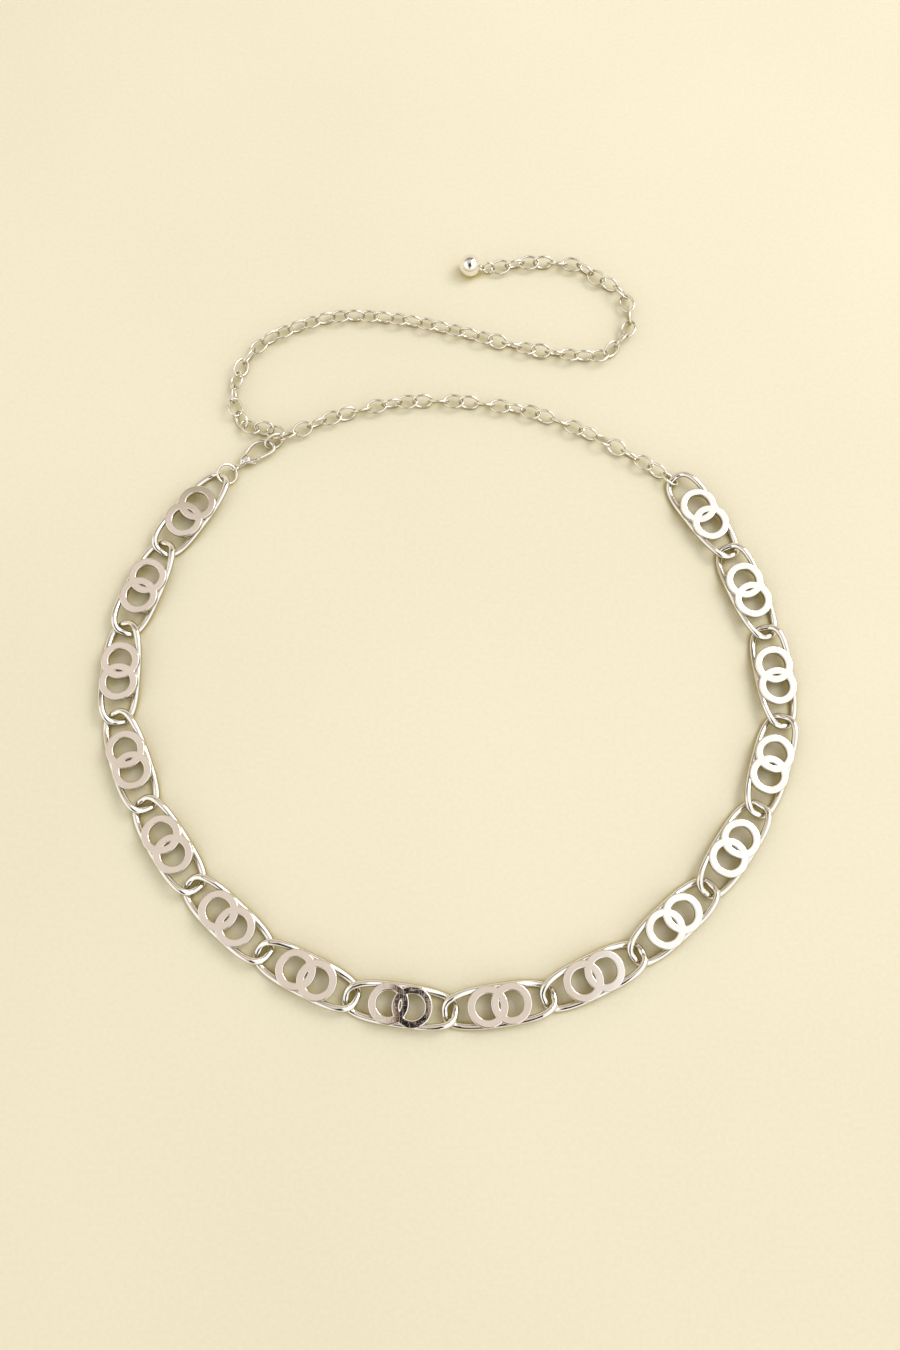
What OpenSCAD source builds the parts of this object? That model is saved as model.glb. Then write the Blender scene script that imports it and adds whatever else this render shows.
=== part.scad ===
// Waist chain lying on the floor (z = 0): sixteen long wire links, each with a plate of two overlapping
// rings, closed by a lobster clasp on a cable chain that runs on as a tail to a ball.
// +X is the photograph's right and +Y its upper edge. The origin is the middle of the footprint. Millimetres.

/* [Belt links] */
// Distance from joint to joint along the belt
link_pitch = 33.8; // [31:0.1:38]
// Play in each joint
link_play = 1.2; // [0.9:0.1:1.6]
// Wire width, seen from above
wire_w = 2.4; // [2:0.1:2.8]
// Wire height
wire_h = 1.9; // [1.5:0.1:2.2]
// Half of the loop's width, to the wire's middle
loop_half = 6.2; // [5.8:0.1:6.6]
// How far the loop's corners rise and fall
loop_twist = 1.7; // [1.5:0.1:2]

/* [Plates] */
// Outer diameter of each ring
ring_d = 14; // [12:0.1:15]
// Hole in each ring
hole_d = 8.4; // [7:0.1:9.5]
// Distance between the centres of a plate's two rings
ring_step = 8; // [7:0.1:9]
// Plate thickness
plate_t = 1.8; // [1.2:0.1:2.2]
// Height of the plate's underside above the wire's middle
plate_rise = 0.65; // [0.5:0.05:0.8]

/* [Jump ring] */
// Diameter of the ring, to the wire's middle
jump_d = 7.4; // [7:0.1:7.8]
// Its wire
jump_wire = 1; // [0.8:0.05:1.1]

/* [Clasp] */
// Eye diameter, to the wire's middle
eye_d = 2.9; // [2.7:0.1:3.4]
// Wire of the eye
eye_wire = 0.9; // [0.7:0.05:1]
// Height of the arch and the nose
arch_h = 1.8; // [1.6:0.1:2]
// Height of the housing that holds the lever
housing_h = 3.2; // [2.8:0.1:3.6]
// Thickness of the lever
lever_t = 1.2; // [1:0.1:1.5]
// Hinge pin diameter
pin_d = 0.7; // [0.6:0.05:0.9]

/* [Cable chain] */
// Largest distance between the middles of two neighbouring links
cable_pitch = 6.05; // [6.05:0.05:6.3]
// Outer width of a chain link
cable_w = 6.2; // [6:0.1:6.5]
// Wire of the chain
cable_wire = 0.95; // [0.8:0.05:1]
// Outer diameter of the small ring at the tail's end
end_ring_d = 5.2; // [4.8:0.1:5.6]
// Wire of that ring and of the ball's eye
small_wire = 0.75; // [0.6:0.05:0.8]

/* [Ball] */
// Ball diameter
ball_d = 8.6; // [7.6:0.1:9.6]
// Diameter of its eye, to the wire's middle
ball_eye_d = 2.3; // [2.1:0.1:2.8]

/* [Hidden] */

$fn = 72;
silver = [0.83, 0.8, 0.76];
overlap = 0.2;
// from the points below, measured off the photograph, to the middle of the footprint
to_middle = [-0.6, 0.7, 0];

// the belt: headings of the sixteen links in degrees, anticlockwise from +X, and where its wire starts,
// in the jump ring
headings = [-125, -111, -91, -69, -56, -42, -26, -8, 8, 25, 41, 55, 71, 96, 110, 122];
belt_start = [-86.074, 52.118];
link_z = loop_twist + wire_h / 2;
half_loop = (link_pitch + wire_w + link_play) / 2;
corner_power = 0.7;
loop_steps = 24;

// how the jump ring lies: x, y, z, heading, roll and pitch
jump_lie = [-84.2, 52.9, 2.8, 116, 14, -22];

// clasp: middle of the eye, heading towards the nose, and height of its middle plane
eye_at = [-81.4, 55.7];
clasp_turn = 32;
clasp_z = 2.4;
eye_roll = -38;
lever_gap = 0.1;
pin_gap = 0.04;
tip_gap = 0.2;
hinge_at = [4.9, 0.3];
hub_r = 0.8;
tip_radius = 5.2;
knob_at = [7.7, -2.95];
knob_r = 0.4;
neck_d = 1.4;
neck_l = 1.8;
neck_gap = 0.1;
// the part of the clasp's length that is as high as the housing
housing_span = [2, 6.5];
clasp_reach = 6;

// cable chain: where each run goes, and how its links turn about their own length from one to the next,
// as [link number, turn in degrees], read off the photograph: flat links are near a multiple of 180
front_route = [[80.1, 55], [74, 59], [59, 68], [42, 76], [26, 81], [2, 84], [-21, 83], [-44, 77],
               [-56.1, 71.8]];
tail_route = [[-82.5, 81], [-83.2, 86.5], [-82.6, 92], [-81, 98], [-75, 107], [-65, 114],
              [-44, 121], [-20, 120], [3, 115], [32, 107], [55, 104], [63, 106], [71, 115], [72, 124],
              [69, 133], [60, 139], [51, 145], [33, 146], [21.1, 144]];
front_turns = [[0, -64], [1, 0], [6, 360], [9, 540], [11, 720], [14, 900], [17, 1080], [19, 1260], [22, 1440],
               [24, 1605]];
tail_turns = [[0, 20], [5, 350], [21, 1790], [27, 2150], [29, 2330], [32, 2510], [34, 2690], [37, 2870],
              [39, 3050], [42, 3230], [44, 3410]];
// slack in each joint of the cable chain, and the outer length of its links
cable_slack = 0.45;
cable_len = cable_pitch + 2 * cable_wire + cable_slack;
// height of a flat link's middle, as a share of its width, and what an upright one keeps from the floor
flat_share = 0.452;
flat_z = flat_share * cable_w;
floor_gap = 0.05;

function dir(a) = [cos(a), sin(a), 0];
function sgn_pow(v) = sign(v) * pow(abs(v), corner_power);

// middle of belt link i: half a loop from the start, then half a pitch along its own heading from each joint
function link_at(i) =
    i == 0 ? [belt_start[0], belt_start[1], link_z] + dir(headings[0]) * half_loop
           : link_at(i - 1) + (dir(headings[i - 1]) + dir(headings[i])) * link_pitch / 2;

// closed wire through the points of path, its section given as corners in shares of w and h
module wire_loop(path, w, h, corners) {
    n = len(path);
    m = len(corners);
    points = [for (i = [0 : n - 1])
        let (t = path[(i + 1) % n] - path[(i + n - 1) % n],
             s = [t[1], -t[0], 0] / norm([t[0], t[1]]),
             u = cross(s, t) / norm(t))
        for (c = corners) path[i] + s * c[0] * w + u * c[1] * h];
    faces = [for (i = [0 : n - 1], j = [0 : m - 1])
        let (i2 = (i + 1) % n, j2 = (j + 1) % m)
        each [[i * m + j, i2 * m + j2, i2 * m + j], [i * m + j, i * m + j2, i2 * m + j2]]];
    polyhedron(points, faces, convexity = 6);
}

// one belt link along +X, its wire twisted so that the corners rise and fall in turn
module belt_link() {
    corners = [[0.5, 0], [0.25, 0.5], [-0.25, 0.5], [-0.5, 0], [-0.25, -0.5], [0.25, -0.5]];
    path = [for (k = [0 : loop_steps - 1])
        let (t = 360 * k / loop_steps)
        [half_loop * sgn_pow(cos(t)), loop_half * sgn_pow(sin(t)), -loop_twist * sin(2 * t)]];
    wire_loop(path, wire_w, wire_h, corners);
    translate([0, 0, plate_rise])
        linear_extrude(plate_t)
            ring_pair();
}

// two flat rings that overlap
module ring_pair() {
    for (s = [-1, 1])
        translate([s * ring_step / 2, 0])
            difference() {
                circle(d = ring_d);
                circle(d = hole_d);
            }
}

module big_link(number) {
    color(silver)
        translate(link_at(number - 1) + to_middle)
            rotate([0, 0, headings[number - 1]])
                belt_link();
}

// puts a child that lies along +X at p = [x, y, z, heading, roll, pitch]
module laid(p) {
    translate([p[0], p[1], p[2]] + to_middle)
        rotate([0, 0, p[3]])
            rotate([0, p[5], 0])
                rotate([p[4], 0, 0])
                    children();
}

module round_ring(d, wire) {
    rotate_extrude()
        translate([d / 2, 0])
            circle(d = wire, $fn = 24);
}

module jump_ring() {
    color(silver)
        laid(jump_lie)
            round_ring(jump_d, jump_wire);
}

// clasp outline, eye at the origin and nose along +X
module clasp_outer() {
    translate([3.9, 0.7])
        circle(r = 1.3);
    translate([11, 1.7])
        circle(r = 3.9);
    translate([13.3, 1.8])
        circle(r = 3.5);
    translate([15.4, 0.1])
        circle(r = 2.5);
    polygon([[3.5, 1.9], [9.4, 5.1], [11, 5.5], [13.3, 5.2], [16.3, 3.5], [17.5, 1.3], [15.7, -2.35],
             [11, -2.4], [8.8, -2], [6.2, -1.2], [4.2, -0.5]]);
}

// the opening that the clasp's arch goes round
module clasp_inner() {
    translate([7.6, 1.5])
        circle(r = 1.3);
    translate([11, 1.7])
        circle(r = 2.6);
    translate([13.35, 1.7])
        circle(r = 2.35);
    translate([14.55, 0.4])
        circle(r = 1.7);
    polygon([[7, 2.6], [9.8, 3.95], [11, 4.2], [13.3, 3.9], [15.3, 2.75], [15.9, 0.8], [14.4, -1.1],
             [11.5, -1.1], [9.5, -0.75], [7.6, 0.25]]);
}

// where the lever lies and swings
module lever_room() {
    intersection() {
        translate(hinge_at)
            circle(r = tip_radius + tip_gap);
        polygon([[4, 1.3], [12, 1.3], [12, -5], [4, -5]]);
    }
}

module clasp_plane() {
    translate([eye_at[0], eye_at[1], clasp_z] + to_middle)
        rotate([0, 0, clasp_turn])
            children();
}

module clasp_body() {
    color(silver)
        clasp_plane() {
            rotate([eye_roll, 0, 0])
                round_ring(eye_d, eye_wire);
            translate([eye_d / 2 + neck_gap, 0, 0])
                rotate([0, 90, 0])
                    cylinder(h = neck_l, d = neck_d);
            translate([0, 0, -arch_h / 2])
                linear_extrude(arch_h)
                    difference() {
                        clasp_outer();
                        clasp_inner();
                        lever_room();
                    }
            difference() {
                translate([0, 0, -housing_h / 2])
                    linear_extrude(housing_h)
                        intersection() {
                            difference() {
                                clasp_outer();
                                clasp_inner();
                            }
                            translate([housing_span[0], -clasp_reach])
                                square([housing_span[1] - housing_span[0], 2 * clasp_reach]);
                        }
                translate([0, 0, -lever_t / 2 - lever_gap])
                    linear_extrude(lever_t + 2 * lever_gap)
                        lever_room();
            }
            translate([hinge_at[0], hinge_at[1], -housing_h / 2 + overlap])
                cylinder(h = housing_h - 2 * overlap, d = pin_d);
        }
}

// bar, and the thumb tab beside it that ends in a small knob
module clasp_lever() {
    color(silver)
        clasp_plane()
            translate([0, 0, -lever_t / 2])
                difference() {
                    union() {
                        translate(hinge_at)
                            cylinder(h = lever_t, r = hub_r);
                        linear_extrude(lever_t)
                            polygon([[4.9, 0.9], [9.2, -0.7], [9.93, -0.87], [9.46, -2.16], [8.8, -2],
                                     [6.3, -1.25], [7.85, -2.7], [7.5, -3.25], [4.6, -0.75]]);
                        translate(knob_at)
                            cylinder(h = lever_t, r = knob_r);
                    }
                    translate([hinge_at[0], hinge_at[1], -overlap])
                        cylinder(h = lever_t + 2 * overlap, d = pin_d + 2 * pin_gap);
                }
}

// closed oval of five-sided wire in its own plane, with the given outer length and width
module wire_oval(length, width, wire) {
    path = [for (a = [0 : 30 : 330]) [(length - wire) / 2 * cos(a), (width - wire) / 2 * sin(a), 0]];
    corners = [for (a = [90 : 72 : 378]) [cos(a) / 2, sin(a) / 2]];
    wire_loop(path, wire, wire, corners);
}

// one chain link along +X
module cable_link() {
    wire_oval(cable_len, cable_w, cable_wire);
}

// smooth curve through the points q, as a list of close points
function curve(q) =
    let (n = len(q), p = concat([2 * q[0] - q[1]], q, [2 * q[n - 1] - q[n - 2]]))
    concat([for (i = [1 : n - 1], u = [0 : 0.05 : 0.96])
        0.5 * (2 * p[i] + (p[i + 1] - p[i - 1]) * u
            + (2 * p[i - 1] - 5 * p[i] + 4 * p[i + 1] - p[i + 2]) * u * u
            + (3 * p[i] - p[i - 1] - 3 * p[i + 1] + p[i + 2]) * u * u * u)], [q[n - 1]]);

// distance along the points c up to each of them
function travelled(c) = [for (i = 0, s = 0; i < len(c);
    i = i + 1, s = s + (i < len(c) ? norm(c[i] - c[i - 1]) : 0)) s];

// the point at distance s along the points c
function at(c, far, s) =
    [for (k = [0, 1]) lookup(s, [for (i = [0 : len(c) - 1]) [far[i], c[i][k]]])];

// height of the middle of a link that is turned about its length: its lower side rests on the floor,
// or it hangs in its neighbours where it lies flatter
function resting_z(turn) =
    max(flat_z, floor_gap + cable_wire / 2 + (cable_w - cable_wire) / 2 * abs(sin(turn)));

// links laid at equal steps along a route
function run(route, turns) =
    let (c = curve(route), far = travelled(c), whole = far[len(far) - 1],
         steps = 2 * ceil(whole / cable_pitch / 2), step = whole / steps, last = turns[len(turns) - 1][0])
    [for (k = [0 : steps])
        let (p = at(c, far, k * step), a = at(c, far, max(0, (k - 0.5) * step)),
             b = at(c, far, min(whole, (k + 0.5) * step)), turn = lookup(k * last / steps, turns))
        [p[0], p[1], resting_z(turn), atan2(b[1] - a[1], b[0] - a[0]), turn, 0]];

// the links that are placed one by one, each as x, y, z, heading, roll and pitch:
// the first at belt link 16, moved on from that link's end and to its left, then those at the clasp's nose
hooked_pose = [-66.9, 66.6, 2.75, 33, 54, -1];
before_hook = [-61.6, 69.25, 2.6, 27, -45, -2];
tail_start = [[-66.5, 70.25, 3.35, 161, 3, 16], [-70.9, 72.1, 3.05, 174, -53, 7],
              [-76.35, 72.75, 2.55, 154, 11, 0], [-79.85, 76.05, 2.5, 118, -44, 0]];
first_shift = [0.8, 2.1];
first_lie = [2.5, 17.3, 40.5, -4];
first_pose = let (turn = headings[15], p = link_at(15) + dir(turn) * (half_loop + first_shift[0])
        + dir(turn + 90) * first_shift[1])
    [p[0], p[1], first_lie[0], turn + first_lie[1], first_lie[2], first_lie[3]];

module extender_chain() {
    color(silver)
        for (p = concat([first_pose], run(front_route, front_turns), [before_hook, hooked_pose]))
            laid(p)
                cable_link();
}

end_ring_pose = [16.3, 143.6, 2.7, 179, -69, 3];

module extender_tail() {
    color(silver) {
        for (p = concat(tail_start, run(tail_route, tail_turns)))
            laid(p)
                cable_link();
        laid(end_ring_pose)
            end_ring();
    }
}

// small round ring of the tail's end
module end_ring() {
    wire_oval(end_ring_d, end_ring_d, small_wire);
}

ball_at = [8.8, 143.6, ball_d / 2];
ball_eye_drop = 1.8;
ball_eye_sink = 0.35;
ball_eye_roll = -20;

module end_ball() {
    color(silver)
        translate(ball_at + to_middle) {
            rotate([0, 0, 180])
                sphere(d = ball_d);
            translate([ball_d / 2 + ball_eye_d / 2 - ball_eye_sink, 0, -ball_eye_drop])
                rotate([ball_eye_roll, 0, 0])
                    round_ring(ball_eye_d, small_wire);
        }
}

big_link(1);  // big_link_01
big_link(2);  // big_link_02
big_link(3);  // big_link_03
big_link(4);  // big_link_04
big_link(5);  // big_link_05
big_link(6);  // big_link_06
big_link(7);  // big_link_07
big_link(8);  // big_link_08
big_link(9);  // big_link_09
big_link(10);  // big_link_10
big_link(11);  // big_link_11
big_link(12);  // big_link_12
big_link(13);  // big_link_13
big_link(14);  // big_link_14
big_link(15);  // big_link_15
big_link(16);  // big_link_16
jump_ring();
clasp_body();
clasp_lever();
extender_chain();
extender_tail();
end_ball();
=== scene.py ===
"""Waist chain of bright silver plate, lying in a loop on a pale floor.

Everything is in the CAD model's frame: +X is the photograph's right, +Y its upper edge, z = 0 the floor.
Sizes are written in millimetres, as on the bench, and turned into metres where a mesh is made.
"""
from functools import partial

import bmesh
import bpy
import numpy as np
from mathutils import Matrix


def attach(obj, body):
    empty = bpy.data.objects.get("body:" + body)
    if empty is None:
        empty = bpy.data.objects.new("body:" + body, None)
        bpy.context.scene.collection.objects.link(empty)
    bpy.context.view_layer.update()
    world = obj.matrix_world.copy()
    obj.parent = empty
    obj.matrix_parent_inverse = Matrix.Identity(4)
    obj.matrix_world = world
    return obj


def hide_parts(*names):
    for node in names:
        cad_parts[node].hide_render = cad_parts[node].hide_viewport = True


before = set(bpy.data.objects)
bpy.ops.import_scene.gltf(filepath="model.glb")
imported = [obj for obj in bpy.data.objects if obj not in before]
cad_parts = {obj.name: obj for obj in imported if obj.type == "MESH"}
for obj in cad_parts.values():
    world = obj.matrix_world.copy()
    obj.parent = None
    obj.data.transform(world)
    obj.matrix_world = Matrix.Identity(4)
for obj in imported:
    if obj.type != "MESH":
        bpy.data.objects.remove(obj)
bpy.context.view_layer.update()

MM = 0.001
TO_MIDDLE = np.array([-0.6, 0.7, 0.0])

# belt links
LINK_PITCH, LINK_PLAY = 33.8, 1.2
WIRE_W, WIRE_H = 2.4, 1.9
LOOP_HALF, LOOP_TWIST, CORNER_POWER = 6.2, 1.7, 0.7
HALF_LOOP = (LINK_PITCH + WIRE_W + LINK_PLAY) / 2
LINK_Z = LOOP_TWIST + WIRE_H / 2
HEADINGS = [-125, -111, -91, -69, -56, -42, -26, -8, 8, 25, 41, 55, 71, 96, 110, 122]
BELT_START = (-86.074, 52.118)

# plates
RING_D, HOLE_D, RING_STEP = 14.0, 8.4, 8.0
PLATE_T, PLATE_RISE = 1.8, 0.65
PLATE_EDGE, PLATE_FOOT = 0.42, 0.15

# jump ring, cable chain and ball
JUMP_D, JUMP_WIRE = 7.4, 1.0
JUMP_LIE = (-84.2, 52.9, 2.8, 116, 14, -22)
CABLE_PITCH, CABLE_W, CABLE_WIRE = 6.05, 6.2, 0.95
CABLE_LEN = CABLE_PITCH + 2 * CABLE_WIRE + 0.45
END_RING_D, SMALL_WIRE = 5.2, 0.75
FLAT_Z, FLOOR_GAP = 0.452 * CABLE_W, 0.05
FRONT_ROUTE = [(80.1, 55), (74, 59), (59, 68), (42, 76), (26, 81), (2, 84), (-21, 83), (-44, 77),
               (-56.1, 71.8)]
TAIL_ROUTE = [(-82.5, 81), (-83.2, 86.5), (-82.6, 92), (-81, 98), (-75, 107), (-65, 114), (-44, 121),
              (-20, 120), (3, 115), (32, 107), (55, 104), (63, 106), (71, 115), (72, 124), (69, 133),
              (60, 139), (51, 145), (33, 146), (21.1, 144)]
# how the links turn about their own length along each run: link number, degrees
FRONT_TURNS = [(0, -64), (1, 0), (6, 360), (9, 540), (11, 720), (14, 900), (17, 1080), (19, 1260), (22, 1440),
               (24, 1605)]
TAIL_TURNS = [(0, 20), (5, 350), (21, 1790), (27, 2150), (29, 2330), (32, 2510), (34, 2690), (37, 2870),
              (39, 3050), (42, 3230), (44, 3410)]
# links laid one by one: the first is moved on from belt link 16's end and to its left, then the clasp's
FIRST_SHIFT, FIRST_LIE = (0.8, 2.1), (2.5, 17.3, 40.5, -4)
HOOKED_LIE = (-66.9, 66.6, 2.75, 33, 54, -1)
BEFORE_HOOK_LIE = (-61.6, 69.25, 2.6, 27, -45, -2)
TAIL_START = [(-66.5, 70.25, 3.35, 161, 3, 16), (-70.9, 72.1, 3.05, 174, -53, 7),
              (-76.35, 72.75, 2.55, 154, 11, 0), (-79.85, 76.05, 2.5, 118, -44, 0)]
END_RING_LIE = (16.3, 143.6, 2.7, 179, -69, 3)
BALL_D, BALL_EYE_D, BALL_EYE_DROP = 8.6, 2.3, 1.8
BALL_AT = (8.8, 143.6, BALL_D / 2)
# the eye's middle from the ball's, sunk a little into the ball, and how the eye is rolled
BALL_EYE_AT, BALL_EYE_ROLL = (BALL_D / 2 + BALL_EYE_D / 2 - 0.35, 0, -BALL_EYE_DROP), -20
# the groove round the ball, and the line round its collar with the collar's half angle in degrees
GROOVE_DEPTH, GROOVE_W = 0.03, 0.05
COLLAR_ANGLE, COLLAR_DEPTH, COLLAR_W = 13, 0.02, 1.6

# clasp
EYE_AT, CLASP_TURN, CLASP_Z, EYE_ROLL = (-81.4, 55.7), 32, 2.4, -38
EYE_D, EYE_WIRE = 2.9, 0.9
ARCH_H, HOUSING_H, LEVER_T, SLOT_H = 1.8, 3.2, 1.2, 1.4
HINGE_AT, PIN_D = (4.9, 0.3), 0.7
# middle line of the arch from the housing round the nose, as x, y and width
ARCH = [(5.6, 2.3, 1.3), (7, 3.2, 1.1), (9.4, 4.5, 1.35), (11, 4.95, 1.35), (13.3, 4.65, 1.3),
        (15.3, 3.75, 1.35), (16.6, 2.2, 1.5), (17.05, 0.3, 1.65), (16.4, -1.15, 1.6), (15, -1.75, 1.35),
        (13, -1.75, 1.25), (11.4, -1.68, 1.25), (9.97, -1.6, 1.2)]
# housing across its length: x, lower and upper side, height, and how deep the lever's slot cuts in from below
HOUSING = [(1.6, -0.68, 0.68, 1.36, 0), (2.5, -0.7, 0.75, 1.5, 0), (3.1, -0.72, 1.55, 2.5, 0),
           (3.7, -0.62, 2.0, 3.1, 0), (4.3, -0.5, 2.35, 3.2, 1.8), (5.2, -0.85, 2.8, 3.2, 2.15),
           (6.1, -1.1, 3.15, 3.15, 2.4), (6.5, -0.9, 3.2, 2.9, 2.2)]
# the housing's corners as a power, where its slot starts, its depth before that, its cheeks at the rim, and
# the largest share of the height that half the slot takes
HOUSING_POWER, SLOT_FROM, NO_SLOT, CHEEK_T, SLOT_SHARE = 0.75, 3.9, 0.02, 0.05, 0.45
# how far the pin's heads reach down into the housing, and how high their rounded top is
PIN_HEAD_H, PIN_ROUND_H = 0.3, 0.12
# lever: middle line of the bar and of the thumb tab, as x, y and width
BAR = [(4.55, 0.15, 1.5), (5.6, -0.15, 1.65), (7.2, -0.75, 1.5), (8.6, -1.25, 1.4), (9.75, -1.52, 1.3)]
TAB = [(5.3, -0.5, 1), (6.3, -1.5, 0.9), (7.1, -2.35, 0.8), (7.68, -2.95, 0.8)]


def direction(degrees):
    """Unit vector in the floor's plane: cosine and sine of the heading."""
    a = np.radians(degrees)
    return np.array([np.cos(a), np.sin(a), 0.0])


def turn_matrix(heading, roll=0.0, pitch=0.0):
    """Roll about the long axis, then pitch about the cross axis, then the heading about the vertical."""
    h, r, p = np.radians([heading, roll, pitch])
    about_x = np.array([[1, 0, 0], [0, np.cos(r), -np.sin(r)], [0, np.sin(r), np.cos(r)]])
    about_y = np.array([[np.cos(p), 0, np.sin(p)], [0, 1, 0], [-np.sin(p), 0, np.cos(p)]])
    about_z = np.array([[np.cos(h), -np.sin(h), 0], [np.sin(h), np.cos(h), 0], [0, 0, 1]])
    return about_z @ about_y @ about_x


def laid(points, lie):
    """Points drawn along +X, put down at lie = (x, y, z, heading, roll, pitch)."""
    x, y, z, heading, roll, pitch = lie
    return points @ turn_matrix(heading, roll, pitch).T + np.array([x, y, z]) + TO_MIDDLE


def grid_faces(n, m, closed_n, closed_m, first=0):
    """Quads of an n by m grid of vertices that starts at vertex `first` and may close on itself."""
    i, j = np.meshgrid(np.arange(n if closed_n else n - 1), np.arange(m if closed_m else m - 1),
                       indexing="ij")
    i2, j2 = (i + 1) % n, (j + 1) % m
    return first + np.stack([i * m + j, i2 * m + j, i2 * m + j2, i * m + j2], -1).reshape(-1, 4)


def wire(path, width, height, sides):
    """Closed wire: an ellipse of width by height carried along the closed path.

    The ellipse's width lies level, square to the path; its height is square to both.
    """
    along = np.roll(path, -1, 0) - np.roll(path, 1, 0)
    along /= np.linalg.norm(along, axis=1)[:, None]
    level = np.stack([along[:, 1], -along[:, 0], 0 * along[:, 0]], -1)
    level /= np.linalg.norm(level, axis=1)[:, None]
    up = np.cross(level, along)
    a = np.linspace(0, 2 * np.pi, sides, endpoint=False)[None, :, None]
    grid = path[:, None] + level[:, None] * np.cos(a) * width / 2 + up[:, None] * np.sin(a) * height / 2
    return grid.reshape(-1, 3), grid_faces(len(path), sides, True, True)


def signed_power(value, power):
    """The size of the value to a power, with the value's sign."""
    return np.sign(value) * np.abs(value) ** power


def belt_path(count):
    """Path of a belt link's wire: x and y are powers of cosine and sine, z falls and rises twice."""
    t = np.linspace(0, 2 * np.pi, count, endpoint=False) + np.pi / count
    return np.stack([HALF_LOOP * signed_power(np.cos(t), CORNER_POWER),
                     LOOP_HALF * signed_power(np.sin(t), CORNER_POWER), -LOOP_TWIST * np.sin(2 * t)], -1)


def oval_path(length, width, count):
    """Ellipse of the given length and width in its own plane."""
    a = np.linspace(0, 2 * np.pi, count, endpoint=False)
    return np.stack([length / 2 * np.cos(a), width / 2 * np.sin(a), 0 * a], -1)


def arc(centre_x, radius, top, count):
    """Arc about (centre_x, 0) from the angle `top` clockwise to its mirror image below."""
    a = np.linspace(top, -top, count)
    return np.stack([centre_x + radius * np.cos(a), radius * np.sin(a)], -1)


def plate_edges(inset):
    """The right half's edge lines with every edge set back by `inset`, each from the top to the bottom.

    They are arcs of the two discs and the two holes: the outside, the two sides of the large opening,
    and the line down the middle, which goes round the right side of the narrow slot where both holes meet.
    """
    half, big, small = RING_STEP / 2, RING_D / 2 - inset, HOLE_D / 2 + inset
    notch = np.sqrt(big ** 2 - half ** 2)
    corner_x = (big ** 2 - small ** 2) / (4 * half)
    corner_y = np.sqrt(small ** 2 - (half - corner_x) ** 2)
    slot_y = np.sqrt(max(small ** 2 - half ** 2, 1e-6))
    outside = arc(half, big, np.arctan2(notch, -half), count=60)
    far_side = arc(half, small, np.arctan2(corner_y, corner_x - half), count=60)
    near_side = arc(-half, big, np.arctan2(corner_y, corner_x + half), count=31)
    slot = arc(-half, small, np.arctan2(slot_y, half), count=13)
    down = np.linspace(notch, slot_y, 10)[:-1]
    middle = np.concatenate([np.stack([0 * down, down], -1), slot,
                             np.stack([0 * down, -down[::-1]], -1)])
    return outside, far_side, near_side, middle, slot


def plate_profile():
    """Set-back and height up the plate's edge: a small round at the foot, a larger one at the top."""
    a = np.linspace(0, np.pi / 2, 7)
    foot = np.stack([PLATE_FOOT * (1 - np.sin(a)), PLATE_FOOT * (1 - np.cos(a))], -1)
    top = np.stack([PLATE_EDGE * (1 - np.cos(a)), PLATE_T - PLATE_EDGE * (1 - np.sin(a))], -1)
    return np.concatenate([foot, top])


def ring_plate():
    """Two rings made as one plate: its edges carried up the profile, its faces ruled between them.

    A ruled face is the straight blend of two edge lines, with a narrow strip beside each edge so that
    the flat stays flat. The left half is the right half mirrored.
    """
    profile = plate_profile()
    lines = [plate_edges(inset) for inset, _ in profile]
    grids = []
    for which in (0, 1, 2, 4):
        grids.append(np.stack([np.column_stack([lines[k][which], np.full(len(lines[k][which]), z)])
                               for k, (_, z) in enumerate(profile)]))
    share = np.array([0, 0.05, 0.5, 0.95, 1])[:, None, None]
    for k in (0, len(profile) - 1):
        for a, b in ((0, 1), (2, 3)):
            flat = lines[k][a] * (1 - share) + lines[k][b] * share
            grids.append(np.concatenate([flat, np.full(flat.shape[:2] + (1,), profile[k][1])], -1))
    points, faces, first = [], [], 0
    for side in (1, -1):
        for grid in grids:
            points.append((grid * [side, 1, 1]).reshape(-1, 3))
            faces.append(grid_faces(grid.shape[0], grid.shape[1], False, False, first))
            first += points[-1].shape[0]
    return np.concatenate(points) + [0, 0, PLATE_RISE], np.concatenate(faces)


def piece(name, points, faces, material, body, slot, nodes, merge=False):
    """Makes a smooth piece from points in millimetres, on a body, in place of CAD nodes."""
    mesh = bpy.data.meshes.new(name)
    mesh.from_pydata((np.asarray(points) * MM).tolist(), [], [list(face) for face in faces])
    if merge:
        work = bmesh.new()
        work.from_mesh(mesh)
        bmesh.ops.remove_doubles(work, verts=work.verts, dist=0.002 * MM)
        bmesh.ops.recalc_face_normals(work, faces=work.faces)
        work.to_mesh(mesh)
        work.free()
    mesh.polygons.foreach_set("use_smooth", np.ones(len(mesh.polygons), bool))
    mesh.materials.append(material)
    mesh.update()
    thing = bpy.data.objects.new(name, mesh)
    bpy.context.scene.collection.objects.link(thing)
    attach(thing, body)
    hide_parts(*nodes)
    return thing


def together(parts):
    """Several (points, faces) as one; faces may have three or four corners."""
    points, faces, first = [], [], 0
    for p, f in parts:
        points.append(p)
        faces += [[int(v) + first for v in face] for face in f]
        first += len(p)
    return np.concatenate(points), faces


def curve_between(a, b, c, d, u):
    """Catmull-Rom curve from b (u = 0) to c (u = 1), with a before it and d after it."""
    return 0.5 * (2 * b + (c - a) * u + (2 * a - 5 * b + 4 * c - d) * u ** 2
                  + (3 * b - a - 3 * c + d) * u ** 3)


def with_ends(rows):
    """The rows with one more before the first and one after the last, carried on straight."""
    return np.vstack([2 * rows[0] - rows[1], rows, 2 * rows[-1] - rows[-2]])


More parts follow.
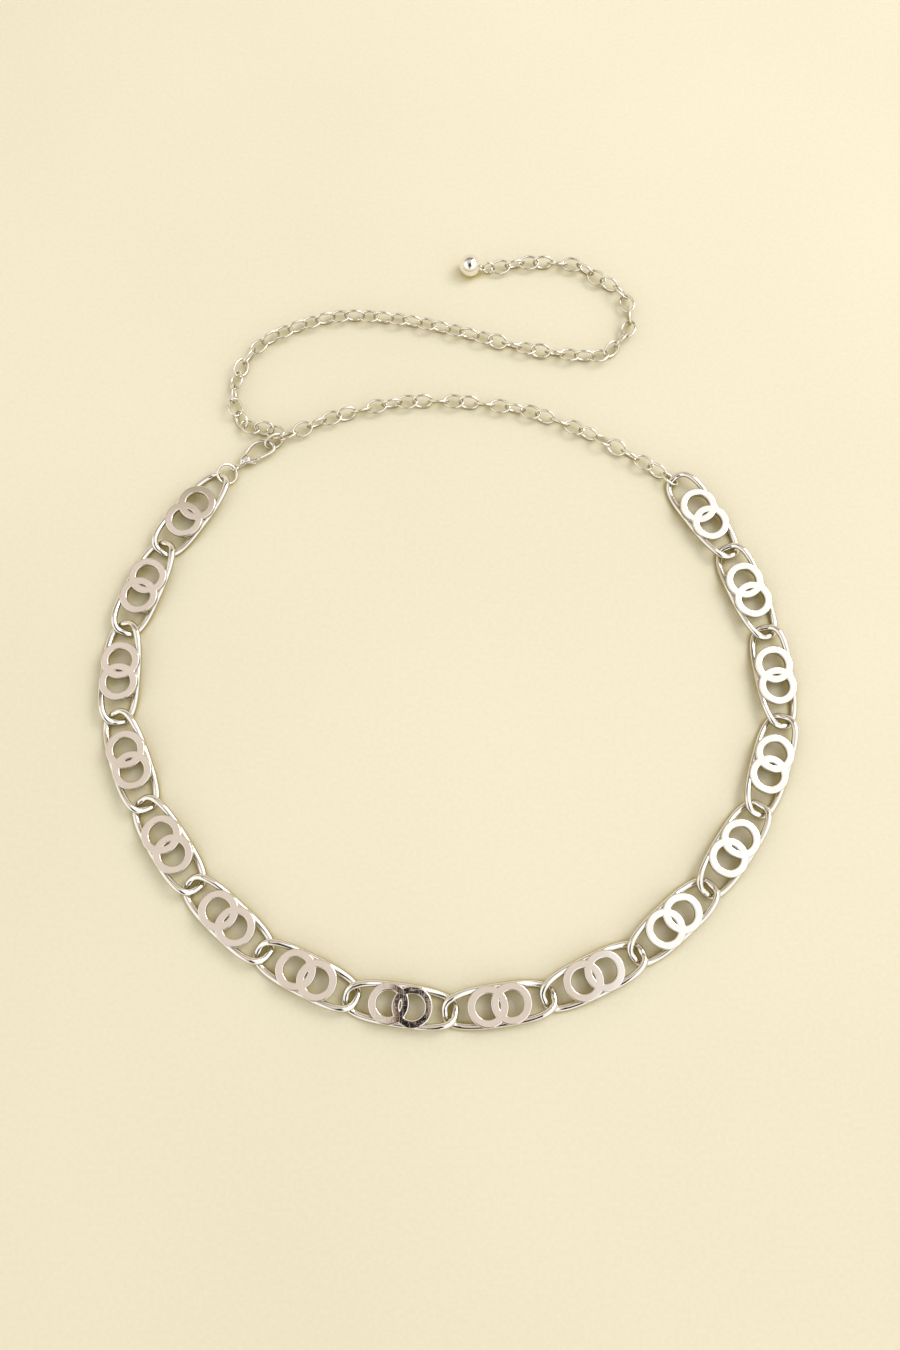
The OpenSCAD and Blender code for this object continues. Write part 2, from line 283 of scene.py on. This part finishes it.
def smooth_route(route):
    """Curve through the route's points, twenty short steps to each stretch."""
    q = np.array(route, float)
    p = with_ends(q)
    u = np.arange(0, 0.96, 0.05)[None, :, None]
    curve = curve_between(*(p[k:k + len(q) - 1, None] for k in range(4)), u)
    return np.vstack([curve.reshape(-1, 2), q[-1:]])


def run_of_links(route, turns):
    """Links at equal steps along the route, as rows of x, y, z, heading, roll, pitch.

    The roll is read off the list of turns by straight lines; a link's middle is as high as its lower side
    on the floor makes it, and never lower than a flat link's.
    """
    c = smooth_route(route)
    far = np.concatenate([[0], np.cumsum(np.linalg.norm(np.diff(c, axis=0), axis=1))])
    steps = 2 * int(np.ceil(far[-1] / CABLE_PITCH / 2))

    def at(s):
        return np.stack([np.interp(s, far, c[:, 0]), np.interp(s, far, c[:, 1])], -1)

    k = np.arange(steps + 1)
    step = far[-1] / steps
    p, before, after = at(k * step), at(np.maximum(0, k - 0.5) * step), at(np.minimum(steps, k + 0.5) * step)
    number, turn = np.array(turns, float).T
    roll = np.interp(k * number[-1] / steps, number, turn)
    half = (CABLE_W - CABLE_WIRE) / 2
    z = np.maximum(FLAT_Z, FLOOR_GAP + CABLE_WIRE / 2 + half * np.abs(np.sin(np.radians(roll))))
    chord = after - before
    return np.column_stack([p, z, np.degrees(np.arctan2(chord[:, 1], chord[:, 0])), roll, 0 * k])


def node_group(name, inputs, outputs):
    """Empty shader group with named sockets."""
    group = bpy.data.node_groups.new(name, "ShaderNodeTree")
    for kind, title, value in inputs:
        socket = group.interface.new_socket(title, in_out="INPUT", socket_type=kind)
        socket.default_value = value
    for kind, title in outputs:
        group.interface.new_socket(title, in_out="OUTPUT", socket_type=kind)
    return group, group.nodes.new("NodeGroupInput"), group.nodes.new("NodeGroupOutput")


def set_or_link(tree, socket, value):
    """Gives a socket a number or a colour, or links another socket to it."""
    if isinstance(value, tuple):
        socket.default_value = value + (1,)
    elif isinstance(value, (int, float)):
        socket.default_value = value
    else:
        tree.links.new(value, socket)


def math_node(tree, kind, a, b=0.0):
    """Result of a math node on two numbers or sockets."""
    node = tree.nodes.new("ShaderNodeMath")
    node.operation = kind
    set_or_link(tree, node.inputs[0], a)
    set_or_link(tree, node.inputs[1], b)
    return node.outputs[0]


def range_node(tree, value, from_min, from_max, to_min=0.0, to_max=1.0, steps="LINEAR"):
    """Value brought from one range to another, and kept inside it."""
    node = tree.nodes.new("ShaderNodeMapRange")
    node.interpolation_type = steps
    for title, v in (("Value", value), ("From Min", from_min), ("From Max", from_max),
                     ("To Min", to_min), ("To Max", to_max)):
        set_or_link(tree, node.inputs[title], v)
    return node.outputs["Result"]


def colour_node(tree, factor, a, b):
    """Blend of two colours, which are red, green and blue or a socket."""
    node = tree.nodes.new("ShaderNodeMix")
    node.data_type = "RGBA"
    for title, v in (("Factor", factor), ("A", a), ("B", b)):
        set_or_link(tree, node.inputs[title], v)
    return node.outputs["Result"]


def bright_plate_group():
    """Colour, roughness and height of worn bright plating.

    Soft clouds turn the colour from bright to tarnished, and the sides are darker where the input for steep
    sides is one:
    painted shade, standing in for the shaded floor that they mirror; two crossed sets of stretched noise are
    hairline scratches, which raise the roughness and the height.
    """
    group, g_in, g_out = node_group(
        "bright_plate",
        [("NodeSocketColor", "Bright", (0.9, 0.88, 0.85, 1)),
         ("NodeSocketColor", "Tarnished", (0.7, 0.62, 0.52, 1)),
         ("NodeSocketFloat", "Tarnish", 0.3), ("NodeSocketFloat", "Polish", 0.1),
         # the next two inputs paint shade: steep sides turn to a darker colour that stands in for the shaded
         # floor they mirror
         ("NodeSocketFloat", "Scratches", 0.5), ("NodeSocketFloat", "Flank Shade", 0.0),
         ("NodeSocketColor", "Side", (0.45, 0.41, 0.3, 1))],
        [("NodeSocketColor", "Color"), ("NodeSocketFloat", "Roughness"), ("NodeSocketFloat", "Height")])
    new, link = group.nodes.new, group.links.new
    place = new("ShaderNodeTexCoord")

    def noise(detail, scale=1, stretch=None, turn=0.0):
        source = place.outputs["Object"]
        if stretch:
            mapping = new("ShaderNodeMapping")
            mapping.inputs["Scale"].default_value = stretch
            mapping.inputs["Rotation"].default_value = (0, 0, turn)
            link(source, mapping.inputs["Vector"])
            source = mapping.outputs["Vector"]
        n = new("ShaderNodeTexNoise")
        n.inputs["Scale"].default_value = scale
        n.inputs["Detail"].default_value = detail
        link(source, n.inputs["Vector"])
        return n.outputs["Fac"]

    math, ranged = partial(math_node, group), partial(range_node, group)
    clouds = ranged(noise(detail=3, scale=90), 0.35, 0.7)
    mask = math("MULTIPLY", clouds, g_in.outputs["Tarnish"])
    faces = colour_node(group, mask, g_in.outputs["Bright"], g_in.outputs["Tarnished"])
    # painted shade: the colour turns to the darker side colour as far as the input for steep sides says
    link(colour_node(group, g_in.outputs["Flank Shade"], faces, g_in.outputs["Side"]), g_out.inputs["Color"])

    one = ranged(noise(detail=2, stretch=(350, 6000, 900), turn=0.6), 0.6, 0.72)
    two = ranged(noise(detail=2, stretch=(5200, 300, 900), turn=-0.35), 0.6, 0.72)
    lines = math("MULTIPLY", math("ADD", one, two), g_in.outputs["Scratches"])
    smear = ranged(noise(detail=2, scale=420), 0.3, 0.7, 0.75, 1.35)
    rough = math("ADD", math("MULTIPLY", g_in.outputs["Polish"], smear), math("MULTIPLY", lines, 0.08))
    link(rough, g_out.inputs["Roughness"])
    wave = ranged(noise(detail=1, scale=160), 0, 1)
    link(math("SUBTRACT", wave, math("MULTIPLY", lines, 0.15)), g_out.inputs["Height"])
    return group


def metal(name, group, values, bump, flank_shade=None):
    """Plated metal: the group's colour, roughness and height on a metallic surface.

    Where the surface leans from the level by more than the first of the two heights in the last argument, the
    upright part of its normal, the group's darker side colour begins, painted shade that stands in for the
    shaded floor that steep sides mirror; it is full at the second.
    """
    material = bpy.data.materials.new(name)
    material.use_nodes = True
    nodes, links = material.node_tree.nodes, material.node_tree.links
    shader = nodes["Principled BSDF"]
    shader.inputs["Metallic"].default_value = 1.0
    finish = nodes.new("ShaderNodeGroup")
    finish.node_tree = group
    for title, value in values.items():
        finish.inputs[title].default_value = value
    # painted shade: steep sides get the group's darker side colour
    if flank_shade:
        lean, upright = nodes.new("ShaderNodeNewGeometry"), nodes.new("ShaderNodeSeparateXYZ")
        links.new(lean.outputs["Normal"], upright.inputs[0])
        links.new(range_node(material.node_tree, upright.outputs["Z"], *flank_shade), finish.inputs["Flank Shade"])
    relief = nodes.new("ShaderNodeBump")
    relief.inputs["Strength"].default_value = 1.0
    relief.inputs["Distance"].default_value = bump * MM
    links.new(finish.outputs["Color"], shader.inputs["Base Color"])
    links.new(finish.outputs["Roughness"], shader.inputs["Roughness"])
    links.new(finish.outputs["Height"], relief.inputs["Height"])
    links.new(relief.outputs["Normal"], shader.inputs["Normal"])
    return material


def smooth_rows(rows, count):
    """Curve through rows of numbers, sampled evenly by row."""
    q = np.array(rows, float)
    p = with_ends(q)
    t = np.linspace(0, len(q) - 1, count)
    k = np.minimum(t.astype(int), len(q) - 2)
    return curve_between(p[k], p[k + 1], p[k + 2], p[k + 3], (t - k)[:, None])


def closed_ends(grid, fans=True):
    """Points and faces of a grid of rings: each ring closed, and each end too.

    A fan of triangles closes an end, or one flat face where the ring is hollow on a side.
    """
    n, m = grid.shape[:2]
    if not fans:
        ends = [list(range(m)), list(range((n - 1) * m, n * m))[::-1]]
        return grid.reshape(-1, 3), grid_faces(n, m, True, True)[:(n - 1) * m].tolist() + ends
    points = np.concatenate([grid.reshape(-1, 3), grid[0].mean(0)[None], grid[-1].mean(0)[None]])
    j = np.arange(m)
    start = np.stack([j, 0 * j + n * m, (j + 1) % m, j], -1)[:, [1, 0, 2]]
    end = np.stack([(n - 1) * m + (j + 1) % m, 0 * j + n * m + 1, (n - 1) * m + j], -1)[:, [1, 0, 2]]
    quads = grid_faces(n, m, True, True)[:(n - 1) * m]
    return points, quads.tolist() + start.tolist() + end.tolist()


def flat_bar(rows, height, power, count, ends, sides=24):
    """Bar along a middle line in the clasp's plane.

    Its section is a superellipse, as wide as the row says and `height` high: x and y are cosine and sine
    to `power`. Each of its two ends closes over `ends` millimetres along a quarter ellipse.
    """
    line = smooth_rows(rows, count)
    run = np.concatenate([[0], np.cumsum(np.linalg.norm(np.diff(line[:, :2], axis=0), axis=1))])
    along = np.gradient(line[:, :2], axis=0)
    along /= np.linalg.norm(along, axis=1)[:, None]
    side = np.stack([along[:, 1], -along[:, 0]], -1)
    close = np.ones(count)
    for k, length in enumerate(ends):
        if length:
            share = np.clip((run if k == 0 else run[-1] - run) / length, 0, 1)
            close *= np.sqrt(np.clip(1 - (1 - share) ** 2, 0.001, 1))
    a = np.linspace(0, 2 * np.pi, sides, endpoint=False)
    across, up = signed_power(np.cos(a), power), signed_power(np.sin(a), power)
    grid = np.empty((count, sides, 3))
    half_width = (line[:, 2] * close / 2)[:, None, None]
    grid[:, :, :2] = line[:, None, :2] + side[:, None] * across[None, :, None] * half_width
    grid[:, :, 2] = up[None] * height / 2 * close[:, None]
    return closed_ends(grid)


def housing_shell():
    """Housing of the clasp: a closed outline carried along X that takes its size from rows of numbers.

    The outline is a rectangle with rounded corners, lower to upper side by height, with the lever's slot cut
    into its lower side: the last quarter of the outline goes in along one cheek, across and out again.
    """
    rows = smooth_rows(HOUSING, count=40)
    rows[:, 4] = np.where(rows[:, 0] < SLOT_FROM, NO_SLOT, np.clip(rows[:, 4], NO_SLOT, None))
    turn = np.radians(np.linspace(-90, 270, 49)[1:-1])
    grid = []
    for x, low, top, height, slot in rows:
        mouth = min(SLOT_H / 2, SLOT_SHARE * height)
        y = (low + top) / 2 + signed_power(np.sin(turn), HOUSING_POWER) * (top - low) / 2
        z = signed_power(np.cos(turn), HOUSING_POWER) * height / 2
        z = np.where(y < low + slot, np.sign(z) * np.maximum(np.abs(z), mouth + CHEEK_T), z)
        inner_y = low + np.array([0, 0.5, 1, 1, 0.5, 0]) * slot
        inner_z = mouth * np.array([-1, -1, -1, 1, 1, 1])
        y, z = np.concatenate([y, inner_y]), np.concatenate([z, inner_z])
        grid.append(np.stack([np.full(len(y), x), y, z], -1))
    return closed_ends(np.array(grid), fans=False)


def dome(at, radius, low, high, count=20):
    """Rivet head: straight sides and a low rounded top, rings about the vertical through `at`."""
    profile = np.array([(1, low), (1, high - PIN_ROUND_H), (0.92, high - PIN_ROUND_H / 3), (0.7, high),
                        (0.02, high)])
    a = np.linspace(0, 2 * np.pi, count, endpoint=False)
    ring = np.stack([np.cos(a), np.sin(a)], -1)
    grid = np.empty((len(profile), count, 3))
    grid[:, :, :2] = np.array(at) + ring[None] * profile[:, None, :1] * radius
    grid[:, :, 2] = profile[:, 1:]
    return closed_ends(grid)


def clasp():
    """Lobster clasp: its frame in place of the clasp body, and its lever on the hinge."""
    lie = (EYE_AT[0], EYE_AT[1], CLASP_Z, CLASP_TURN, 0, 0)
    eye, eye_faces = wire(oval_path(EYE_D, EYE_D, count=40), EYE_WIRE, EYE_WIRE, sides=16)
    top = dome(HINGE_AT, PIN_D / 2, HOUSING_H / 2 - PIN_HEAD_H, HOUSING_H / 2)
    under = (top[0] * [1, 1, -1], [face[::-1] for face in top[1]])
    points, faces = together([(eye @ turn_matrix(0, EYE_ROLL).T, eye_faces),
                              flat_bar(ARCH, ARCH_H, power=1.0, count=150, ends=(0, 0.15)),
                              housing_shell(), top, under])
    piece("clasp_frame", laid(points, lie), faces, CLASP_SILVER, "root", "clasp_silver", ["clasp_body"])
    points, faces = together([flat_bar(BAR, LEVER_T, power=0.95, count=80, ends=(0.7, 0.15)),
                              flat_bar(TAB, LEVER_T, power=0.9, count=40, ends=(0, 0.4))])
    piece("clasp_thumb_lever", laid(points, lie), faces, CLASP_SILVER, "lever", "clasp_silver",
          ["clasp_lever"])


def ball():
    """End ball: a polished sphere with a fine groove where its halves meet, a collar and an eye.

    The radius dips by a narrow bell curve across the upright seam, and by another along a ring about the
    eye's direction, which marks off the collar.
    """
    n, m = 96, 128  # rings from pole to pole and steps round each
    polar = np.linspace(0, np.pi, n)[:, None]
    round_it = np.linspace(0, 2 * np.pi, m, endpoint=False)[None]
    unit = np.stack([np.cos(polar) + 0 * round_it, np.sin(polar) * np.cos(round_it),
                     np.sin(polar) * np.sin(round_it)], -1)
    towards_eye = np.array(BALL_EYE_AT) / np.linalg.norm(BALL_EYE_AT)
    off_seam = unit[..., 1] * BALL_D / 2
    off_eye = np.degrees(np.arccos(np.clip(unit @ towards_eye, -1, 1)))
    groove = GROOVE_DEPTH * np.exp(-(off_seam / GROOVE_W) ** 2)
    collar_line = COLLAR_DEPTH * np.exp(-((off_eye - COLLAR_ANGLE) / COLLAR_W) ** 2)
    radius = BALL_D / 2 - groove - collar_line
    points = (unit * radius[..., None]).reshape(-1, 3)
    faces = grid_faces(n, m, False, False)
    wrap = np.arange(n - 1)
    seam = np.stack([wrap * m + m - 1, (wrap + 1) * m + m - 1, (wrap + 1) * m, wrap * m], -1)
    eye, eye_faces = wire(oval_path(BALL_EYE_D, BALL_EYE_D, count=40), SMALL_WIRE, SMALL_WIRE, sides=14)
    eye = eye @ turn_matrix(0, BALL_EYE_ROLL).T + np.array(BALL_EYE_AT)
    points, faces = together([(points, np.concatenate([faces, seam])), (eye, eye_faces)])
    piece("tail_ball", points + np.array(BALL_AT) + TO_MIDDLE, faces, BALL_SILVER, "root", "ball_silver",
          ["end_ball"], merge=True)


plating = bright_plate_group()
# the last pair of a metal sets its painted shade on steep sides: where it begins and where it is full, as the
# upright part of the normal
PLATE_SILVER = metal("plate_silver", plating, {"Bright": (0.93, 0.9, 0.86, 1), "Tarnish": 0.25,
                                               "Polish": 0.03, "Scratches": 0.5},
                     bump=0.009, flank_shade=(0.85, 0.5))
WIRE_SILVER = metal("wire_silver", plating, {"Bright": (0.93, 0.91, 0.88, 1), "Tarnish": 0.3,
                                             "Polish": 0.06, "Scratches": 0.4},
                    bump=0.01, flank_shade=(0.75, 0.5))
CHAIN_SILVER = metal("chain_silver", plating, {"Bright": (0.95, 0.93, 0.87, 1), "Tarnish": 0.25,
                                               "Polish": 0.12, "Scratches": 0.2},
                     bump=0.004, flank_shade=(0.6, 0.3))
CLASP_SILVER = metal("clasp_silver", plating, {"Bright": (0.9, 0.88, 0.85, 1), "Tarnish": 0.25,
                                               "Polish": 0.1, "Scratches": 0.6},
                     bump=0.01, flank_shade=(0.45, 0.15))
BALL_SILVER = metal("ball_silver", plating, {"Bright": (0.93, 0.91, 0.88, 1), "Tarnish": 0.15,
                                             "Polish": 0.07, "Scratches": 0.3},
                    bump=0.01)


def belt_links():
    """Sixteen wire loops with their plates, each half a pitch along its own heading from each joint."""
    wire_points, wire_faces = wire(belt_path(count=160), WIRE_W, WIRE_H, sides=20)
    plate_points, plate_faces = ring_plate()
    centre = np.array([BELT_START[0], BELT_START[1], LINK_Z]) + direction(HEADINGS[0]) * HALF_LOOP
    for k, heading in enumerate(HEADINGS):
        if k:
            centre = centre + (direction(HEADINGS[k - 1]) + direction(heading)) * LINK_PITCH / 2
        lie = (centre[0], centre[1], centre[2], heading, 0, 0)
        node = "big_link_%02d" % (k + 1)
        piece("loop_wire_%02d" % (k + 1), laid(wire_points, lie), wire_faces, WIRE_SILVER, "root",
              "plated_silver", [node])
        piece("ring_plate_%02d" % (k + 1), laid(plate_points, lie), plate_faces, PLATE_SILVER, "root",
              "plated_silver", [node], merge=True)
    return centre


def cable_chain(last_link):
    """Front run from the last belt link to the clasp's nose, then the tail to its small ring."""
    link = wire(oval_path(CABLE_LEN - CABLE_WIRE, CABLE_W - CABLE_WIRE, count=44), CABLE_WIRE, CABLE_WIRE,
                sides=14)
    heading = HEADINGS[-1]
    onward, left = direction(heading), direction(heading + 90)
    p = last_link + onward * (HALF_LOOP + FIRST_SHIFT[0]) + left * FIRST_SHIFT[1]
    first = (p[0], p[1], FIRST_LIE[0], heading + FIRST_LIE[1], FIRST_LIE[2], FIRST_LIE[3])
    front = [first] + list(run_of_links(FRONT_ROUTE, FRONT_TURNS)) + [BEFORE_HOOK_LIE, HOOKED_LIE]
    tail = TAIL_START + list(run_of_links(TAIL_ROUTE, TAIL_TURNS))
    ring = wire(oval_path(END_RING_D - SMALL_WIRE, END_RING_D - SMALL_WIRE, count=40), SMALL_WIRE,
                SMALL_WIRE, sides=12)
    front_mesh = together([(laid(link[0], lie), link[1]) for lie in front])
    tail_mesh = together([(laid(link[0], lie), link[1]) for lie in tail]
                         + [(laid(ring[0], END_RING_LIE), ring[1])])
    piece("front_chain", *front_mesh, CHAIN_SILVER, "root", "chain_silver", ["extender_chain"])
    piece("tail_chain", *tail_mesh, CHAIN_SILVER, "root", "chain_silver", ["extender_tail"])
    loop = wire(oval_path(JUMP_D, JUMP_D, count=96), JUMP_WIRE, JUMP_WIRE, sides=16)
    piece("clasp_jump_ring", laid(loop[0], JUMP_LIE), loop[1], CHAIN_SILVER, "root", "chain_silver",
          ["jump_ring"])


cable_chain(belt_links())
clasp()
ball()


def floor():
    """Pale matt table top: cream with slow clouds and a fine tooth, and painted shade: olive where little
    light comes in.
    """
    mesh = bpy.data.meshes.new("floor")
    reach = 3  # metres to each side
    mesh.from_pydata([(-reach, -reach, 0), (reach, -reach, 0), (reach, reach, 0), (-reach, reach, 0)], [],
                     [(0, 1, 2, 3)])
    material = bpy.data.materials.new("cream_table")
    material.use_nodes = True
    nodes, links = material.node_tree.nodes, material.node_tree.links
    shader = nodes["Principled BSDF"]
    place = nodes.new("ShaderNodeTexCoord")
    clouds, tooth = nodes.new("ShaderNodeTexNoise"), nodes.new("ShaderNodeTexNoise")
    clouds.inputs["Scale"].default_value = 5
    tooth.inputs["Scale"].default_value = 700
    tooth.inputs["Detail"].default_value = 3
    both = nodes.new("ShaderNodeMix")
    both.inputs["Factor"].default_value = 0.45
    for noise, title in ((clouds, "A"), (tooth, "B")):
        links.new(place.outputs["Object"], noise.inputs["Vector"])
        links.new(noise.outputs["Fac"], both.inputs[title])
    # painted shade on the floor: the ambient occlusion turns the cream olive in the plates' holes and close
    # beside the metal
    shade = nodes.new("ShaderNodeAmbientOcclusion")
    shade.samples = 8
    shade.inputs["Distance"].default_value = 5 * MM
    tree, olive = material.node_tree, (0.6, 0.47, 0.1)
    cream = colour_node(tree, both.outputs["Result"], (0.81, 0.755, 0.575), (1.0, 0.95, 0.75))
    openness = range_node(tree, shade.outputs["AO"], 0.25, 0.78)
    links.new(colour_node(tree, openness, olive, cream), shader.inputs["Base Color"])
    shader.inputs["Roughness"].default_value = 0.6
    shader.inputs["Specular IOR Level"].default_value = 0.2
    mesh.materials.append(material)
    thing = bpy.data.objects.new("floor", mesh)
    bpy.context.scene.collection.objects.link(thing)


def studio_sky():
    """Soft surroundings by direction (x, y, z): the plates mirror what is overhead.

    A direction is laid out as across = x / z and along = y / z. Overhead it is beige and lower down cream.
    Patches are laid over it in the order in which they are named below: a khaki patch and a dim bar on the
    far side, a dim bar on the left, a dim stretch on the near side, and a white window on the right and on
    the left. A dark flag with a brown border lies on top of all of them.
    """
    world = bpy.data.worlds.new("studio")
    bpy.context.scene.world = world
    world.use_nodes = True
    tree = world.node_tree
    tree.nodes.clear()
    new, link = tree.nodes.new, tree.links.new
    place, split = new("ShaderNodeTexCoord"), new("ShaderNodeSeparateXYZ")
    link(place.outputs["Generated"], split.inputs[0])

    math, mix = partial(math_node, tree), partial(colour_node, tree)
    fade = partial(range_node, tree, steps="SMOOTHSTEP")
    x, y, z = split.outputs
    high = math("MAXIMUM", z, 0.02)  # keeps the horizon and what is under it finite
    across, along = math("DIVIDE", x, high), math("DIVIDE", y, high)
    out = math("SQRT", math("ADD", math("MULTIPLY", across, across), math("MULTIPLY", along, along)))

    def box(middle_x, half_x, middle_y, half_y):
        """Below zero inside a box of directions, above zero outside."""
        over_x = math("SUBTRACT", math("ABSOLUTE", math("SUBTRACT", across, middle_x)), half_x)
        over_y = math("SUBTRACT", math("ABSOLUTE", math("SUBTRACT", along, middle_y)), half_y)
        return math("MAXIMUM", over_x, over_y)

    overhead, sides, low_sky, dim = (0.8, 0.7, 0.61), (0.6, 0.53, 0.43), (0.88, 0.8, 0.6), (0.22, 0.19, 0.16)
    sky = mix(fade(out, 0.5, 0.9), overhead, sides)
    sky = mix(fade(out, 1.3, 2.2), sky, low_sky)
    # each patch: its box, how soft its edge is, its colour
    khaki_patch = box(-0.3, 0.13, 0.54, 0.1), 0.03, (0.42, 0.37, 0.26)
    far_bar = box(0, 1.6, 0.72, 0.12), 0.03, dim
    left_bar = box(-0.45, 0.07, -0.8, 1.25), 0.02, dim
    near_stretch = box(-0.11, 0.24, -1.15, 0.95), 0.05, (0.32, 0.28, 0.23)
    right_window = box(1.7, 1.55, -1.2, 1.75), 0.04, (1.15, 1.15, 1.15)
    left_window = box(-1.9, 1.4, -1.3, 1.65), 0.04, (1.1, 1.09, 1.05)
    for shape, soft, colour in (khaki_patch, far_bar, left_bar, near_stretch, right_window, left_window):
        sky = mix(fade(shape, soft, -soft), sky, colour)
    # the dark flag: from the zenith to half way down on the near side, a strip that widens into a wedge
    flag_x, flag_far, flag_near = -0.023, 0.004, -1.05
    strip_half, widens_from, slope = 0.0145, -0.05, 0.42
    past = math("MAXIMUM", math("SUBTRACT", widens_from, along), 0.0)
    width = math("ADD", strip_half, math("MULTIPLY", past, slope))
    beside = math("SUBTRACT", math("ABSOLUTE", math("SUBTRACT", across, flag_x)), width)
    ends = math("MAXIMUM", math("SUBTRACT", along, flag_far), math("SUBTRACT", flag_near, along))
    edge = math("MAXIMUM", beside, ends)
    dark, brown = (0.02, 0.019, 0.018), (0.34, 0.2, 0.11)
    flag = mix(fade(edge, -0.002, -0.0005), dark, brown)
    sky = mix(fade(edge, 0.003, 0.001), sky, flag)
    back = new("ShaderNodeBackground")
    link(sky, back.inputs["Color"])
    back.inputs["Strength"].default_value = 1.0
    link(back.outputs[0], new("ShaderNodeOutputWorld").inputs[0])


def soft_light(name, at, towards, size, power, tint):
    """Square area light that looks at a point."""
    data = bpy.data.lights.new(name, "AREA")
    data.shape, data.size, data.energy, data.color = "SQUARE", size, power, tint
    thing = bpy.data.objects.new(name, data)
    bpy.context.scene.collection.objects.link(thing)
    back = np.array(at) - towards
    back /= np.linalg.norm(back)
    right = np.cross([0, 0, 1], back)
    right /= np.linalg.norm(right)
    thing.matrix_world = Matrix(np.vstack([np.column_stack([right, np.cross(back, right), back, at]),
                                           [0, 0, 0, 1]]).tolist())


def camera():
    """Camera over the chain's near edge.

    It sees the point straight below it at the pixel `nadir` of a frame 900 wide and 1350 high, and `focal`
    is its focal length in pixels.
    """
    frame_w, frame_h, focal, nadir = 900, 1350, 1150.0, (439.2, 986.2)
    at = (-3.5 * MM, -134.9 * MM, 406.7 * MM)
    down = np.array([(nadir[0] - frame_w / 2) / focal, -(nadir[1] - frame_h / 2) / focal, -1.0])
    z = -down / np.linalg.norm(down)
    x = np.array([1.0, 0, 0]) - z[0] * z
    x /= np.linalg.norm(x)
    y = np.cross(z, x)
    data = bpy.data.cameras.new("camera")
    data.sensor_width = 36.0
    data.lens = focal / frame_h * data.sensor_width
    thing = bpy.data.objects.new("camera", data)
    bpy.context.scene.collection.objects.link(thing)
    turn = np.array([[x[0], y[0], z[0]], [x[1], y[1], z[1]], [x[2], y[2], z[2]]])
    # the rows of turn are the camera's right, up and back in the world
    thing.matrix_world = Matrix(np.vstack([np.column_stack([turn.T, at]), [0, 0, 0, 1]]).tolist())
    bpy.context.scene.camera = thing


floor()
studio_sky()
soft_light("key", at=(0.95, 0.6, 1.2), towards=(0, 0, 0), size=0.8, power=8.2, tint=(1.0, 0.98, 0.96))
camera()
bpy.context.scene.view_settings.view_transform = "Standard"
